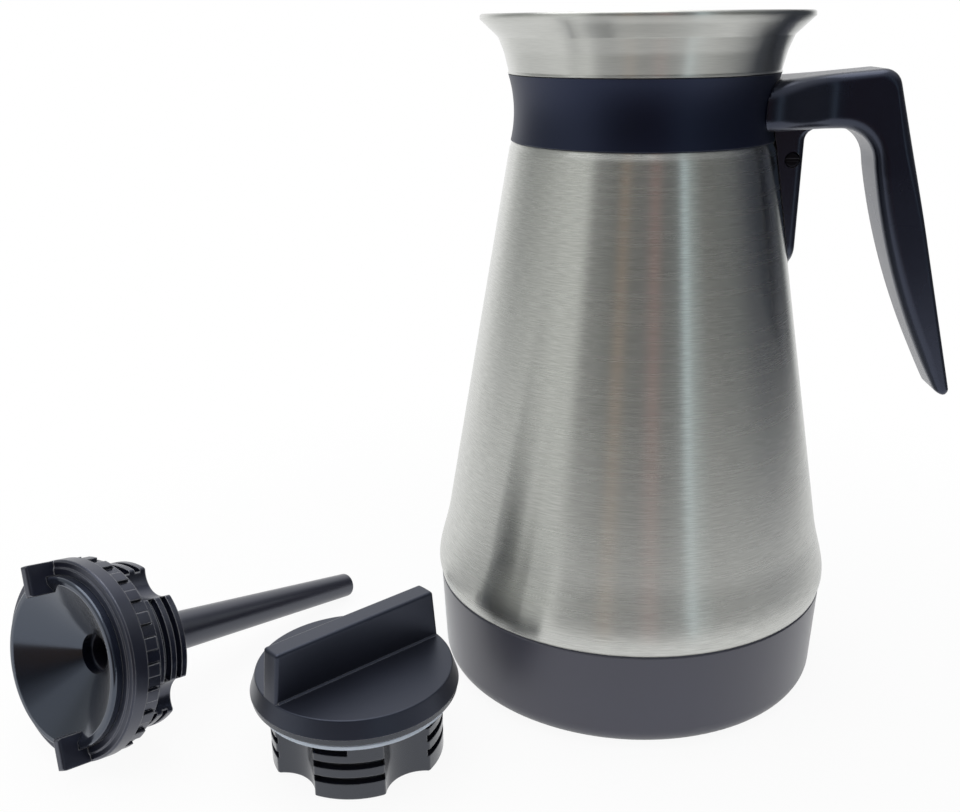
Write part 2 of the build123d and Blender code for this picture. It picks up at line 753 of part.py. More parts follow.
def tooth_gaps(inner, low, high, first_turn):
    """Sectors cut from a rim so that equal teeth are left about Z, one of them at the first turn."""
    pitch = 360 / tooth_count
    turn = pitch / 2 + degrees(2 * tooth_side_gap / skirt_radius)
    return [sector(inner, ring_radius + 3, low, high, first_turn + (i + 0.5) * pitch, turn)
            for i in range(tooth_count)]


def make_funnel_bowl():
    """Funnel that the water is poured into, with a raised lip, a seat below it and a short throat."""
    seat = lip_radius - bowl_seat_width
    section = side_face((lip_radius - lip_width, lip_height), (lip_radius, lip_height),
                        (lip_radius, -bowl_skirt_depth), (seat, -bowl_skirt_depth), (seat, -0.2),
                        (throat_radius + funnel_wall, -funnel_depth - funnel_wall * 0.8),
                        (throat_radius + funnel_wall, -throat_depth), (throat_radius, -throat_depth),
                        (throat_radius, -funnel_depth))
    bowl = revolve(section, Axis.Z)
    return fillet(bowl.edges().filter_by(GeomType.CIRCLE).group_by(Axis.Z)[-1], lip_round)


def bowl_space():
    """The bowl with a clearance, that the ring and its lugs stop short of."""
    outer = lip_radius + close_fit
    top = lip_height + close_fit
    return revolve(side_face((0, -funnel_depth), (throat_radius, -funnel_depth + close_fit),
                             (lip_radius - lip_width, top), (outer, top), (outer, -30), (0, -30)), Axis.Z)


def make_brew_ring():
    """Turning ring with two grip lugs and teeth below, which holds the funnel bowl down on the plug."""
    start = lip_radius - 1
    wall = sleeve_radius + close_fit
    tips = -tooth_tip_depth + tooth_end_gap
    ring = turned(lines_through((start, ring_step), (ring_step_radius - ring_step, ring_step),
                                (ring_step_radius, 0), (ring_radius - 0.6, 0), (ring_radius, -0.6),
                                (ring_radius, -tooth_root_depth + 0.6), (skirt_radius, -tooth_root_depth),
                                (skirt_radius, tips), (wall, tips), (wall, -ring_plate),
                                (start, -ring_plate), (start, ring_step)))
    ring -= tooth_gaps(wall - 1, -tooth_tip_depth - 1, -tooth_root_depth, 0)
    block = Pos(0, 0, lug_height / 2 - 0.5) * Box(ring_radius * 2.2, lug_thickness, lug_height + 1)
    lugs = block & ring_solid(lug_inner_radius, ring_radius - 0.1, -1, lug_height + 1)
    ring += fillet(lugs.edges().group_by(Axis.Z)[-1], lug_round)
    return ring - bowl_space()


def make_brew_plug():
    """Plug of the brew-through lid: toothed crown, sleeve, lobed body and the socket for the tube."""
    tips = -tooth_root_depth - tooth_end_gap
    body = plug_body(-brew_plug_depth, -crown_depth + 0.2, 90, brew_lobe_turns)
    for groove in brew_grooves:
        body -= lobe_grooves(groove, 90, brew_lobe_turns)
    seat = lip_radius + close_fit
    crown = skirt_radius - crown_step
    rim = turned(lines_through((plug_bore_radius, -crown_depth), (crown - crown_round, -crown_depth),
                               (crown, -crown_depth + crown_round / 2), (crown, tips),
                               (sleeve_radius, tips), (sleeve_radius, -ring_plate),
                               (seat, -ring_plate), (seat, -bowl_skirt_depth),
                               (lip_radius - bowl_seat_width, -bowl_skirt_depth),
                               (plug_bore_radius, -tooth_tip_depth + 1),
                               (plug_bore_radius, -crown_depth)))
    rim -= tooth_gaps(sleeve_radius, -tooth_tip_depth, 1, 180 / tooth_count)
    body += rim
    high = -throat_depth - tube_collar_height
    body -= ring_solid(0, plug_bore_radius, -brew_plug_depth + plug_wall, 0)
    body += ring_solid(0, tube_base_radius + close_fit + socket_wall, -brew_plug_depth + 0.6, high)
    return body - Pos(0, 0, -brew_plug_depth) * Cylinder(tube_base_radius + close_fit, 60)


def make_mixing_tube():
    """Long tapering tube hung in the plug's socket by its collar, open at both ends."""
    collar_top = -throat_depth
    collar_foot = collar_top - tube_collar_height
    points = [(tube_base_radius - tube_wall, collar_top), (tube_collar_radius, collar_top),
              (tube_collar_radius, collar_foot), (tube_base_radius, collar_foot),
              (tube_base_radius, -brew_plug_depth - 1), (tube_tip_radius, -tube_tip_depth),
              (tube_tip_radius - tube_wall, -tube_tip_depth),
              (tube_base_radius - tube_wall, -brew_plug_depth - 1)]
    tube = revolve(side_face(*points), Axis.Z)
    return fillet(tube.edges().filter_by(GeomType.CIRCLE).group_by(Axis.Z)[0], 0.3)


def brew_lid_place():
    """Where the brew-through lid lies: on its crown's edge and on its tube's tip, rolled about its axis."""
    turn = radians(brew_lid_turn)
    tilt = radians(brew_lid_tilt)
    roll = radians(brew_lid_roll)
    down_tube = Vector(cos(turn) * cos(tilt), sin(turn) * cos(tilt), -sin(tilt))
    side = Vector(-sin(turn), cos(turn), 0)
    up = side.cross(down_tube) * -1
    lug_line = up * cos(roll) + side * sin(roll)
    lip = Vector(brew_lid_x, brew_lid_y, brew_lid_height)
    return Location(Plane(origin=lip + down_tube * lip_height, x_dir=lug_line, z_dir=down_tube * -1))


os.makedirs("parts", exist_ok=True)
twist_place = Pos(twist_lid_x, twist_lid_y, 0)
brew_place = brew_lid_place()
parts = {
    "outer_shell": make_outer_shell(),
    "mouth_flare": make_mouth_flare(),
    "inner_liner": make_inner_liner(),
    "flask_neck": make_flask_neck(),
    "liner_bottom": make_liner_bottom(),
    "getter": make_getter(),
    "shell_bottom": make_shell_bottom(),
    "vacuum_seal": make_vacuum_seal(),
    "collar_band": make_collar_band(),
    "clamp_strap": make_clamp_strap(),
    "handle": make_handle(),
    "clamp_screw": make_clamp_screw(),
    "clamp_nut": make_clamp_nut(),
    "base_cup": make_base_cup(),
    "foot_ring": make_foot_ring(),
    "twist_cap": twist_place * make_twist_cap(),
    "twist_plug": twist_place * make_twist_plug(),
    "twist_gasket": twist_place * make_twist_gasket(),
    "twist_foam": twist_place * make_twist_foam(),
    "brew_ring": brew_place * make_brew_ring(),
    "funnel_bowl": brew_place * make_funnel_bowl(),
    "brew_plug": brew_place * make_brew_plug(),
    "mixing_tube": brew_place * make_mixing_tube(),
}
for name, solid in parts.items():
    export_step(solid, f"parts/{name}.step")
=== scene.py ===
"""Looks of a double-walled steel carafe and its two lids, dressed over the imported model.

Camera and studio lengths are in metres. The pieces' sizes are in millimetres, and a pair of them is a
distance from the carafe's axis and a height. Sizes of grain, scratches and worn edges are in metres."""

from math import cos, pi, radians, sin

import bmesh
import bpy
import numpy as np
from mathutils import Matrix, Vector


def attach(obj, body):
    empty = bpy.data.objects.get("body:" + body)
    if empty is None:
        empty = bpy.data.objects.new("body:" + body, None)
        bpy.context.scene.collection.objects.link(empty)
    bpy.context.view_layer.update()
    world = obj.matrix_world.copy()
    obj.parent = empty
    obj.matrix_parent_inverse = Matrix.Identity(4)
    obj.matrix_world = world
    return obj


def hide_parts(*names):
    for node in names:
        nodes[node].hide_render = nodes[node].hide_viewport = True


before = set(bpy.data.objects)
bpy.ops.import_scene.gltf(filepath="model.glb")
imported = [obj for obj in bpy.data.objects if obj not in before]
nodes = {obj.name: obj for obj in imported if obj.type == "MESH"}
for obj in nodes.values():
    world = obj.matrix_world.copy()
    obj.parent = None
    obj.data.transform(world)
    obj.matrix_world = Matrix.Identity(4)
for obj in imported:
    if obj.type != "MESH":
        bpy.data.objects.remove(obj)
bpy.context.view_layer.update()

# Camera. It stands a little above the height of the mouth, close to the carafe, and looks down at the
# table, so that the mouth's ring is seen edge-on and the foot from above.
camera_place = Vector((-0.03156, -0.36070, 0.21387))
camera_pan = radians(3.13)
camera_pitch = radians(18.9)
camera_roll = radians(-0.70)
camera_lens = 42.13
camera_sensor = 36
camera_near = 0.01


def make_camera():
    """Camera whose right, up and back directions are worked out from its pan, pitch and roll."""
    ahead = Vector((-sin(camera_pan) * cos(camera_pitch),
                    cos(camera_pan) * cos(camera_pitch),
                    -sin(camera_pitch)))
    level = Vector((cos(camera_pan), sin(camera_pan), 0))
    upright = level.cross(ahead)
    right = level * cos(camera_roll) + upright * sin(camera_roll)
    up = upright * cos(camera_roll) - level * sin(camera_roll)
    data = bpy.data.cameras.new("camera")
    data.sensor_width = camera_sensor
    data.lens = camera_lens
    data.clip_start = camera_near
    camera = bpy.data.objects.new("camera", data)
    bpy.context.scene.collection.objects.link(camera)
    turn = Matrix((right, up, -ahead)).transposed().to_4x4()
    camera.matrix_world = Matrix.Translation(camera_place) @ turn
    bpy.context.scene.camera = camera


make_camera()
bpy.context.scene.view_settings.view_transform = "Standard"

# Studio. A white table top, whose front edge is just below the camera, runs back into a white backdrop.
# A pale wall stands to the left, a dim room lies behind the camera, with a narrow cool window in it to the
# right, and a broad soft light hangs overhead.
white = (1, 1, 1, 1)
table_colour = (0.82, 0.82, 0.82, 1)
table_edges = ((-1.2, -0.34), (0.36, -0.34), (0.36, 3), (-1.2, 3))
table_height = -0.0002
table_white_near = 0.93
table_white_from = 0.12
table_white_full = 0.32
lamp_place = Vector((-0.2, 0.1, 1.5))
lamp_target = Vector((0, 0, 0.1))
lamp_side = 1.6
lamp_power = 14
ceiling_colour = (0.6, 0.61, 0.62, 1)
ceiling_from = 0.35
ceiling_full = 0.8
backdrop_from = radians(140)
backdrop_full = radians(165)
# Compass direction in degrees, 0 behind the camera and 90 to its right, and the room's light there.
room_stops = (
    (-180, (1, 1, 1)),
    (-145, (1, 1, 1)),
    (-126, (0.50, 0.51, 0.50)),
    (-110, (0.32, 0.33, 0.32)),
    (-92, (0.38, 0.39, 0.37)),
    (-64, (0.58, 0.59, 0.56)),
    (-49, (0.62, 0.63, 0.60)),
    (-40, (0.17, 0.17, 0.16)),
    (-23, (0.06, 0.06, 0.05)),
    (-16, (0.22, 0.14, 0.08)),
    (-9, (0.06, 0.055, 0.045)),
    (1, (0.04, 0.035, 0.03)),
    (9, (0.21, 0.10, 0.08)),
    (16, (0.06, 0.06, 0.055)),
    (27, (0.10, 0.11, 0.11)),
    (32.5, (0.62, 0.75, 0.79)),
    (37, (0.32, 0.37, 0.37)),
    (48, (0.11, 0.11, 0.10)),
    (72, (0.12, 0.125, 0.125)),
    (92, (0.06, 0.065, 0.08)),
    (136, (0.05, 0.055, 0.065)),
    (160, (0.7, 0.72, 0.72)),
    (180, (1, 1, 1)),
)


def node_of(tree, kind, **settings):
    """A shader node with its properties and, by name with _ for a space, its unlinked sockets set."""
    node = tree.nodes.new(kind)
    for key, value in settings.items():
        if hasattr(node, key):
            setattr(node, key, value)
        else:
            node.inputs[key.replace("_", " ")].default_value = value
    return node


def math_of(tree, operation, *values):
    """The result of a maths node, each of whose inputs is a number or another node's output."""
    node = node_of(tree, "ShaderNodeMath", operation=operation)
    for socket, value in zip(node.inputs, values):
        if isinstance(value, (int, float)):
            socket.default_value = value
        else:
            tree.links.new(value, socket)
    return node.outputs[0]


def ranged(tree, source, start, end, low=0, high=1, kind="LINEAR"):
    """A value that goes from low to high as the source goes from start to end, and stays there beyond."""
    node = node_of(tree, "ShaderNodeMapRange", interpolation_type=kind,
                   From_Min=start, From_Max=end, To_Min=low, To_Max=high)
    tree.links.new(source, node.inputs["Value"])
    return node.outputs["Result"]


def ramp_of(tree, stops, source):
    """The colour that a ramp through (position, colour) stops has at the source's value."""
    ramp = tree.nodes.new("ShaderNodeValToRGB")
    elements = ramp.color_ramp.elements
    while len(elements) < len(stops):
        elements.new(0.5)
    for element, (place, colour) in zip(elements, stops):
        element.position = place
        element.color = (*colour, 1)
    tree.links.new(source, ramp.inputs["Fac"])
    return ramp.outputs["Color"]


def towards(tree, source, colour, share):
    """The source's colour, mixed by a share towards another colour."""
    node = node_of(tree, "ShaderNodeMixRGB", Color2=colour)
    tree.links.new(share, node.inputs["Fac"])
    tree.links.new(source, node.inputs["Color1"])
    return node.outputs["Color"]


def shown_in(tree, mirrored_share=None):
    """1 for a ray that leaves the camera or that a surface mirrors or lets through, and 0 for any other. The
    mirrored ones are multiplied by their share where one is given."""
    rays = tree.nodes.new("ShaderNodeLightPath")
    seen = rays.outputs["Is Camera Ray"]
    for kind in ("Is Glossy Ray", "Is Transmission Ray"):
        mirrored = rays.outputs[kind]
        if mirrored_share is not None:
            mirrored = math_of(tree, "MULTIPLY", mirrored, mirrored_share)
        seen = math_of(tree, "MAXIMUM", seen, mirrored)
    return seen


def send_out(tree, share, first, second, kind):
    """Sends two shaders to the output, mixed from the first to the second by a share."""
    mix = tree.nodes.new("ShaderNodeMixShader")
    for socket, source in zip(mix.inputs, (share, first.outputs[0], second.outputs[0])):
        tree.links.new(source, socket)
    output = tree.nodes.new(kind)
    tree.links.new(mix.outputs[0], output.inputs["Surface"])


def make_world():
    """White to the camera and, on the backdrop's side, to reflections. Elsewhere the object is lit by a room
    whose brightness changes with the compass direction and turns smoothly into a pale ceiling higher up."""
    world = bpy.data.worlds.new("studio")
    world.use_nodes = True
    tree = world.node_tree
    tree.nodes.clear()
    place = tree.nodes.new("ShaderNodeTexCoord")
    split = tree.nodes.new("ShaderNodeSeparateXYZ")
    tree.links.new(place.outputs["Generated"], split.inputs[0])
    forward = math_of(tree, "MULTIPLY", split.outputs["Y"], -1)
    compass = math_of(tree, "ARCTAN2", split.outputs["X"], forward)
    stops = [((turn + 180) / 360, colour) for turn, colour in room_stops]
    room = ramp_of(tree, stops, ranged(tree, compass, -pi, pi))
    rise = ranged(tree, split.outputs["Z"], ceiling_from, ceiling_full, kind="SMOOTHSTEP")
    room_light = node_of(tree, "ShaderNodeBackground")
    tree.links.new(towards(tree, room, ceiling_colour, rise), room_light.inputs["Color"])
    backdrop_light = node_of(tree, "ShaderNodeBackground", Color=white)
    backdrop = ranged(tree, math_of(tree, "ABSOLUTE", compass), backdrop_from, backdrop_full)
    send_out(tree, shown_in(tree, backdrop), room_light, backdrop_light, "ShaderNodeOutputWorld")
    bpy.context.scene.world = world


def make_table():
    """A white table top that keeps a faint shadow. White is mixed into it for the camera and reflections, a
    fixed share near the object that grows smoothly to the whole further out."""
    mesh = bpy.data.meshes.new("table")
    mesh.from_pydata([(x, y, table_height) for x, y in table_edges], [], [(0, 1, 2, 3)])
    table = bpy.data.objects.new("table", mesh)
    bpy.context.scene.collection.objects.link(table)
    material = bpy.data.materials.new("table")
    material.use_nodes = True
    tree = material.node_tree
    tree.nodes.clear()
    matte = node_of(tree, "ShaderNodeBsdfDiffuse", Color=table_colour)
    glow = node_of(tree, "ShaderNodeEmission", Color=white)
    place = tree.nodes.new("ShaderNodeTexCoord")
    distance = node_of(tree, "ShaderNodeVectorMath", operation="LENGTH")
    tree.links.new(place.outputs["Object"], distance.inputs[0])
    fade = ranged(tree, distance.outputs["Value"], table_white_from, table_white_full,
                  low=table_white_near, kind="SMOOTHSTEP")
    share = math_of(tree, "MULTIPLY", shown_in(tree), fade)
    send_out(tree, share, matte, glow, "ShaderNodeOutputMaterial")
    table.data.materials.append(material)


def make_lamp():
    """A square soft light, aimed from its place at its target."""
    data = bpy.data.lights.new("overhead", "AREA")
    data.shape = "RECTANGLE"
    data.size = lamp_side
    data.size_y = lamp_side
    data.energy = lamp_power
    lamp = bpy.data.objects.new("overhead", data)
    lamp.location = lamp_place
    lamp.rotation_euler = (lamp_target - lamp_place).to_track_quat("-Z", "Y").to_euler()
    bpy.context.scene.collection.objects.link(lamp)


make_world()
make_table()
make_lamp()

# Steel cone. The outer wall of the carafe is one sheet of steel, spun over a former. Its foot turns in under
# the widest place and runs down inside the base cup. It is brushed round and round, which leaves fine
# scratches that stretch every reflection up and down.
mm = 0.001
wall = 0.8
slip = 0.1
neck_radius = 37.4
neck_top = 192.0
band_foot = (40.6, 178.8)
shoulder_end = (40.0, 178.8)
cone_top = (41.0, 176.4)
cone_foot = (62.9, 50.0)
cone_slope = (cone_foot[0] - cone_top[0]) / (cone_top[1] - cone_foot[1])
curl_rise = 6
curl_lead = 8
curl_arrival = 4.5
widest = (65.9, 37.6)
turn_in_lead = 1.6
turn_in_arrival = (0.25, 1.2)
seam = (65.2, 33.4)
cup_foot = (63.9, 6.5)
cup_wall = 2.3
skirt_foot_height = 9.0
round_steps = 288
steel_warm = (0.59, 0.597, 0.572)
scratch_length = 0.005
scratch_width = 0.00036
scratch_depth = 0.00001
scratch_strength = 0.03
polish_length = 0.09
polish_width = 0.0016


def along(points, spacing):
    """Points added on the straight runs of a profile, so that no step is longer than the spacing."""
    points = np.asarray(points, float)
    rows = [points[:1]]
    for start, end in zip(points, points[1:]):
        steps = max(1, int(np.ceil(np.hypot(*(end - start)) / spacing)))
        rows.append(start + (end - start) * np.linspace(0, 1, steps + 1)[1:, None])
    return np.vstack(rows)


def rounded(corners, steps=6):
    """Open run through (radius, height, rounding) corners. Each corner is an arc tangent to both its runs,
    which begins its rounding divided by the tangent of half its angle away from the corner. A point close
    outside each end of an arc keeps the smooth shading of the straight runs flat."""
    corners = [(*corner, 0) if len(corner) == 2 else corner for corner in corners]
    out = []
    for i, (x, y, radius) in enumerate(corners):
        here = np.array((x, y), float)
        if radius <= 0 or i in (0, len(corners) - 1):
            out.append(here[None])
            continue
        before = np.array(corners[i - 1][:2]) - here
        after = np.array(corners[i + 1][:2]) - here
        before /= np.hypot(*before)
        after /= np.hypot(*after)
        half = np.arccos(np.clip(before @ after, -1, 1)) / 2
        if half > pi / 2 - 0.01:
            out.append(here[None])
            continue
        reach = radius / np.tan(half)
        middle = here + (before + after) / np.hypot(*(before + after)) * radius / np.sin(half)
        first = here + before * reach - middle
        last = here + after * reach - middle
        turn = np.arctan2(first[0] * last[1] - first[1] * last[0], first @ last)
        angle = np.linspace(0, turn, steps + 1)[:, None]
        arc = middle + np.cos(angle) * first + np.sin(angle) * np.array((-first[1], first[0]))
        guard = min(0.15, reach * 0.5)
        out.append(np.vstack((arc[:1] + before * guard, arc, arc[-1:] + after * guard)))
    return np.vstack(out)


def bent(start, lead_in, lead_out, end, steps=14):
    """Cubic run from start to end, which leaves towards lead_in and arrives from lead_out: the four points
    weighted by (1-t)^3, 3t(1-t)^2, 3t^2(1-t) and t^3."""
    t = np.linspace(0, 1, steps + 1)[:, None]
    start, lead_in, lead_out, end = (np.array(point, float) for point in (start, lead_in, lead_out, end))
    leaving = (1 - t) ** 3 * start + 3 * t * (1 - t) ** 2 * lead_in
    return leaving + 3 * t ** 2 * (1 - t) * lead_out + t ** 3 * end


def outward(profile):
    """The profile in the order that makes the faces of the turned piece point outwards, which the sign of
    the area that it encloses tells."""
    x, y = profile.T
    area = (x * np.roll(y, -1) - np.roll(x, -1) * y).sum()
    return profile if area > 0 else profile[::-1]


def cup_radius(height):
    """Outer radius of the base cup at a height, a slight cone from its foot to the seam."""
    return cup_foot[0] + (seam[0] - cup_foot[0]) * (height - cup_foot[1]) / (seam[1] - cup_foot[1])


def cone_profile():
    """Down the outside from the neck to the seam, round the skirt, and back up the inside of the sheet."""
    curl_start = (cone_foot[0] - cone_slope * curl_rise, cone_foot[1] + curl_rise)
    curl = bent(curl_start, (curl_start[0] + cone_slope * curl_lead, curl_start[1] - curl_lead),
                (widest[0], widest[1] + curl_arrival), widest)
    turn_in = bent(widest, (widest[0], widest[1] - turn_in_lead),
                   (seam[0] + turn_in_arrival[0], seam[1] + turn_in_arrival[1]), seam, steps=6)
    skirt_top = cup_radius(seam[1]) - cup_wall - slip
    skirt_foot = cup_radius(skirt_foot_height) - cup_wall - slip
    upper = rounded([(neck_radius - wall, neck_top, 0.15), (neck_radius, neck_top, 0.15),
                     (neck_radius, band_foot[1], 0.2), (*shoulder_end, 0.6), (*cone_top, 5), curl_start])
    lower = rounded([seam, (skirt_top, seam[1], 0.2), (skirt_foot, skirt_foot_height, 0.1),
                     (skirt_foot - wall, skirt_foot_height, 0.1), (skirt_top - wall, seam[1] + wall, 0.2),
                     (seam[0] - wall, seam[1] + wall, 0.2), (widest[0] - wall, widest[1], 1.5),
                     (cone_foot[0] - wall, cone_foot[1], 8), (cone_top[0] - wall, cone_top[1] - 0.1, 2),
                     (band_foot[0] - wall, band_foot[1] - wall, 0.1),
                     (neck_radius - wall, band_foot[1] - wall, 0.2), (neck_radius - wall, neck_top - 0.2)])
    return outward(along(np.vstack((upper[1:], curl[1:], turn_in[1:], lower[1:])), spacing=6))


def grid_piece(name, points, uv=None, wrap_rows=True):
    """Mesh of quads over a grid of points (row, column, xyz) in millimetres. Its columns are joined round,
    and so are its rows where they wrap. uv holds one more row and column, so that a pattern has no seam."""
    rows, columns = points.shape[:2]
    row = np.arange(rows if wrap_rows else rows - 1)
    r, c = (index.ravel() for index in np.meshgrid(row, np.arange(columns), indexing="ij"))
    here = r * columns
    above = (r + 1) % rows * columns
    beside = (c + 1) % columns
    quads = np.stack((here + c, here + beside, above + beside, above + c), 1)
    mesh = bpy.data.meshes.new(name)
    mesh.from_pydata((points.reshape(-1, 3) * mm).tolist(), [], quads.tolist())
    if uv is not None:
        corners = np.stack((uv[r, c], uv[r, c + 1], uv[r + 1, c + 1], uv[r + 1, c]), 1)
        layer = mesh.uv_layers.new(name="run")
        layer.data.foreach_set("uv", corners.ravel())
    mesh.shade_smooth()
    piece = bpy.data.objects.new(name, mesh)
    bpy.context.scene.collection.objects.link(piece)
    return piece


def turned(name, profile):
    """Surface of revolution: the closed profile of (radius, height) is carried round Z in equal steps.
    Its UV run is in metres, round at a mean radius and up along the profile."""
    angle = np.arange(round_steps) * 2 * pi / round_steps
    radius, height = profile.T
    points = np.stack((radius[:, None] * np.cos(angle), radius[:, None] * np.sin(angle),
                       np.repeat(height[:, None], round_steps, 1)), 2)
    loop = np.vstack((profile, profile[:1]))
    length = np.concatenate(([0], np.cumsum(np.hypot(*np.diff(loop, axis=0).T)))) * mm
    around = np.linspace(0, 2 * pi, round_steps + 1) * radius.mean() * mm
    return grid_piece(name, points, np.stack(np.meshgrid(around, length), 2))


def new_finish(name, **sockets):
    """A new material, its node tree and its shader with sockets set, by name with _ for a space."""
    material = bpy.data.materials.new(name)
    material.use_nodes = True
    shader = material.node_tree.nodes["Principled BSDF"]
    for key, value in sockets.items():
        shader.inputs[key.replace("_", " ")].default_value = value
    return material, material.node_tree, shader


def toned(tree, colour, darker, lighter, noise):
    """The colour times a factor that goes from darker to lighter as a noise goes from 0.3 to 0.7."""
    stops = ((0.3, tuple(c * darker for c in colour)), (0.7, tuple(c * lighter for c in colour)))
    return ramp_of(tree, stops, noise)


def steel(name, colour, roughness=0.265, contrast=0.1):
    """Brushed steel: the tangent runs round the piece, and noise stretched along it gives fine scratches,
    which change tone and height, and broader bands that are polished more and less."""
    material, tree, shader = new_finish(name, Metallic=1, Anisotropic=1, Anisotropic_Rotation=0.25)
    run = node_of(tree, "ShaderNodeUVMap", uv_map="run")
    tangent = node_of(tree, "ShaderNodeTangent", direction_type="UV_MAP", uv_map="run")
    tree.links.new(tangent.outputs[0], shader.inputs["Tangent"])

    def stretched(length, width, detail):
        """Noise on the piece's own run, whose cells have a length round the piece and a width up it."""
        place = node_of(tree, "ShaderNodeMapping", Scale=(1 / length, 1 / width, 1))
        tree.links.new(run.outputs[0], place.inputs["Vector"])
        noise = node_of(tree, "ShaderNodeTexNoise", Scale=1, Detail=detail)
        tree.links.new(place.outputs[0], noise.inputs["Vector"])
        return noise.outputs["Fac"]

    scratches = stretched(scratch_length, scratch_width, detail=1)
    tone = toned(tree, colour, 1 - contrast, 1 + contrast * 0.9, scratches)
    tree.links.new(tone, shader.inputs["Base Color"])
    polish = stretched(polish_length, polish_width, detail=2)
    rough = ranged(tree, polish, 0, 1, roughness - 0.02, roughness + 0.03)
    tree.links.new(rough, shader.inputs["Roughness"])
    bump = node_of(tree, "ShaderNodeBump", Strength=scratch_strength, Distance=scratch_depth)
    tree.links.new(scratches, bump.inputs["Height"])
    tree.links.new(bump.outputs[0], shader.inputs["Normal"])
    return material


def dress(piece, material, body, replaced):
    """Gives a new piece its material and its body, and hides the node it stands for."""
    piece.data.materials.append(material)
    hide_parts(replaced)
    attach(piece, body)


brushed_shell = steel("brushed_shell", steel_warm)
dress(turned("steel_cone", cone_profile()), brushed_shell, "carafe", "outer_shell")

# Mouth. One spun steel sheet: a rolled rim, a steep flare with a crease, a tuck over the band, a throat that
# joins the outer wall's neck, and a seat for the lid. It is brushed round like the cone, but finer. Its
# lower lip is given as (across, up, rounding) from the band's top edge, outside and inside the sheet.
rim = (49.9, 215.997)
rim_bead = 1.5
bead_points = 13
crease = (45.5, 210.4)
crease_step = 1.2
waist = (42.6, 205.0)
band_top = (41.3, 198.5)
tuck = band_top[1] + slip
lip_outside = ((-0.1, 0.8, 0.5), (0.25, 0.2, 0.12), (-0.4, 0, 0.2), (-2.5, -0.6, 1))
lip_inside = ((-3.1, 0.1, 1), (-0.9, 0.8, 1))
throat_drop = 5.6
throat_thickening = 0.3
seat = (33.4, 191.2)
neck_bore = 27.5
mouth_steel = (0.62, 0.626, 0.6)


def at_lip(offsets):
    """Corners at (across, up) from the band's top edge, each with its rounding."""
    return [(band_top[0] + across, tuck + up, radius) for across, up, radius in offsets]


def mouth_profile():
    """Down the outside from the rim to the lid seat's edge, back up the inside of the sheet, and half round
    the rim's bead."""
    throat = tuck - throat_drop
    inner_crease = crease[0] - wall
    under = [(rim[0], rim[1] - rim_bead), (*crease, 1.2),
             (crease[0] - crease_step, crease[1] - crease_step, 1.2), (*waist, 12), *at_lip(lip_outside),
             (neck_radius, throat, 2), (neck_radius, neck_top), (neck_radius - wall, neck_top, 1),
             (seat[0] + wall, seat[1] - wall, 2), (neck_bore, seat[1] - wall, 0.2)]
    over = [(neck_bore, seat[1], 0.3), (*seat, 1.5), (neck_radius - wall, throat + throat_thickening, 3),
            *at_lip(lip_inside), (waist[0] - wall, waist[1] + 0.2, 10),
            (inner_crease - crease_step, crease[1] - 1.0, 1.2), (inner_crease, crease[1] + 0.4, 1.2),
            (rim[0] - rim_bead, rim[1] - rim_bead)]
    bead = np.linspace(pi, 0, bead_points)
    radius = rim[0] - rim_bead / 2 + np.cos(bead) * rim_bead / 2
    height = rim[1] - rim_bead / 2 + np.sin(bead) * rim_bead / 2
    sheet = along(rounded(under + over), spacing=3)
    return outward(np.vstack((sheet, np.stack((radius, height), 1))))


brushed_mouth = steel("brushed_mouth", mouth_steel, roughness=0.31, contrast=0.04)
dress(turned("steel_mouth", mouth_profile()), brushed_mouth, "carafe", "mouth_flare")

# Band. A ring of satin black plastic with a slight waist is moulded to fit between the mouth and the cone.
# Inside it a strap of satin steel goes round the neck and holds the handle's root.
grain_size = 0.0004
grain_strength = 0.5
patches_per_metre = 45
# Painted edge highlight: none of it while the softened normal's dot product with the surface's own one is
# above the first value, all of it at the second.
highlight_from = 0.97
highlight_full = 0.75
dust_roughness = 0.35
liner_grey = (0.5, 0.5, 0.5)


